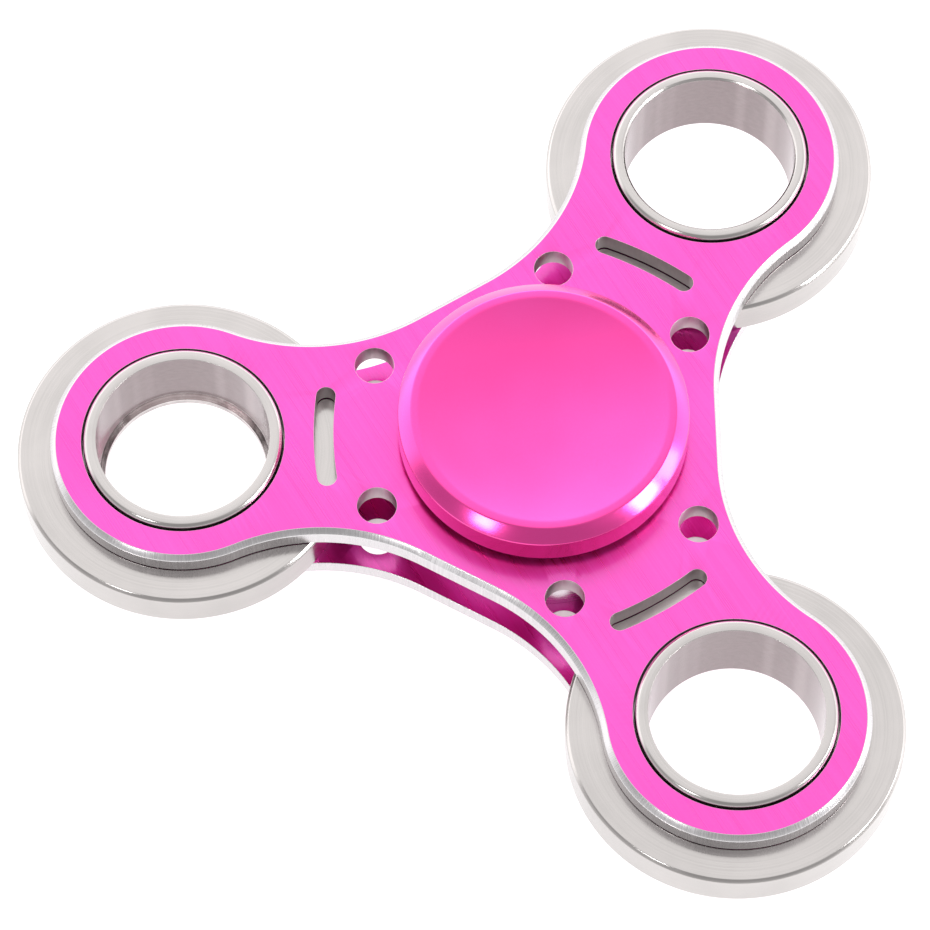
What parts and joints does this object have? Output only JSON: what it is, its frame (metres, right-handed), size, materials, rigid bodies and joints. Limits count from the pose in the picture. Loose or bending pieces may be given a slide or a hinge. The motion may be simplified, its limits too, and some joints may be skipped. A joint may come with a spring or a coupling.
{
  "type": "fidget spinner",
  "caption": "Three-armed metal fidget spinner: plates on a ball bearing, with captive steel ring weights and dished finger caps.",
  "frame": {"origin": "centre of the ball bearing, on the spin axis and midway between the two plates", "axes": "+Z along the spin axis towards the top cap; one arm points along -X at rest"},
  "size_m": [0.0753, 0.0824, 0.0172],
  "materials": {
    "pink_plate": "pink anodised, finely brushed, outer edges machined bare after anodising",
    "pink_cap": "pink anodised, smooth satin",
    "bare_aluminium": "machined, bare",
    "weight_steel": "turned, polished satin",
    "bearing_steel": "ground and polished",
    "sheet_steel": "pressed sheet, satin"
  },
  "bodies": {
    "hub": {"bottom_cap": "pink_cap", "top_cap": "pink_cap", "bearing_inner_ring": "bearing_steel"},
    "rotor": {"top_plate": "pink_plate", "bottom_plate": "pink_plate", "bearing_housing": "bare_aluminium", "bearing_outer_ring": "bearing_steel", "upper_shield": "sheet_steel", "lower_shield": "sheet_steel"},
    "cage": {"upper_cage_half": "sheet_steel", "lower_cage_half": "sheet_steel"},
    "weight_1": {"ring_weight_1": "weight_steel"},
    "weight_2": {"ring_weight_2": "weight_steel"},
    "weight_3": {"ring_weight_3": "weight_steel"},
    "rolling_ball_1": {"ball_1": "bearing_steel"},
    "rolling_ball_2": {"ball_2": "bearing_steel"},
    "rolling_ball_3": {"ball_3": "bearing_steel"},
    "rolling_ball_4": {"ball_4": "bearing_steel"},
    "rolling_ball_5": {"ball_5": "bearing_steel"},
    "rolling_ball_6": {"ball_6": "bearing_steel"},
    "rolling_ball_7": {"ball_7": "bearing_steel"}
  },
  "joints": [
    {"name": "rotor_spin", "type": "hinge", "parent": "hub", "child": "rotor", "pos_m": [0, 0, 0], "axis": [0, 0, 1], "continuous": true},
    {"name": "cage_turn", "type": "hinge", "parent": "hub", "child": "cage", "pos_m": [0, 0, 0], "axis": [0, 0, 1], "continuous": true},
    {"name": "weight_1_turn", "type": "hinge", "parent": "rotor", "child": "weight_1", "pos_m": [0.0155, 0.02685, 0], "axis": [0, 0, 1], "continuous": true},
    {"name": "weight_2_turn", "type": "hinge", "parent": "rotor", "child": "weight_2", "pos_m": [-0.031, 0, 0], "axis": [0, 0, 1], "continuous": true},
    {"name": "weight_3_turn", "type": "hinge", "parent": "rotor", "child": "weight_3", "pos_m": [0.0155, -0.02685, 0], "axis": [0, 0, 1], "continuous": true},
    {"name": "ball_1_roll", "type": "hinge", "parent": "cage", "child": "rolling_ball_1", "pos_m": [0.0075, 0, 0], "axis": [0, 0, 1], "continuous": true},
    {"name": "ball_2_roll", "type": "hinge", "parent": "cage", "child": "rolling_ball_2", "pos_m": [0.00468, 0.00586, 0], "axis": [0, 0, 1], "continuous": true},
    {"name": "ball_3_roll", "type": "hinge", "parent": "cage", "child": "rolling_ball_3", "pos_m": [-0.00167, 0.00731, 0], "axis": [0, 0, 1], "continuous": true},
    {"name": "ball_4_roll", "type": "hinge", "parent": "cage", "child": "rolling_ball_4", "pos_m": [-0.00676, 0.00325, 0], "axis": [0, 0, 1], "continuous": true},
    {"name": "ball_5_roll", "type": "hinge", "parent": "cage", "child": "rolling_ball_5", "pos_m": [-0.00676, -0.00325, 0], "axis": [0, 0, 1], "continuous": true},
    {"name": "ball_6_roll", "type": "hinge", "parent": "cage", "child": "rolling_ball_6", "pos_m": [-0.00167, -0.00731, 0], "axis": [0, 0, 1], "continuous": true},
    {"name": "ball_7_roll", "type": "hinge", "parent": "cage", "child": "rolling_ball_7", "pos_m": [0.00468, -0.00586, 0], "axis": [0, 0, 1], "continuous": true}
  ],
  "couplings": [
    {"joint": "cage_turn", "follows": "rotor_spin", "ratio": 0.6323},
    {"joint": "ball_1_roll", "follows": "rotor_spin", "ratio": 1.7574},
    {"joint": "ball_2_roll", "follows": "rotor_spin", "ratio": 1.7574},
    {"joint": "ball_3_roll", "follows": "rotor_spin", "ratio": 1.7574},
    {"joint": "ball_4_roll", "follows": "rotor_spin", "ratio": 1.7574},
    {"joint": "ball_5_roll", "follows": "rotor_spin", "ratio": 1.7574},
    {"joint": "ball_6_roll", "follows": "rotor_spin", "ratio": 1.7574},
    {"joint": "ball_7_roll", "follows": "rotor_spin", "ratio": 1.7574}
  ]
}
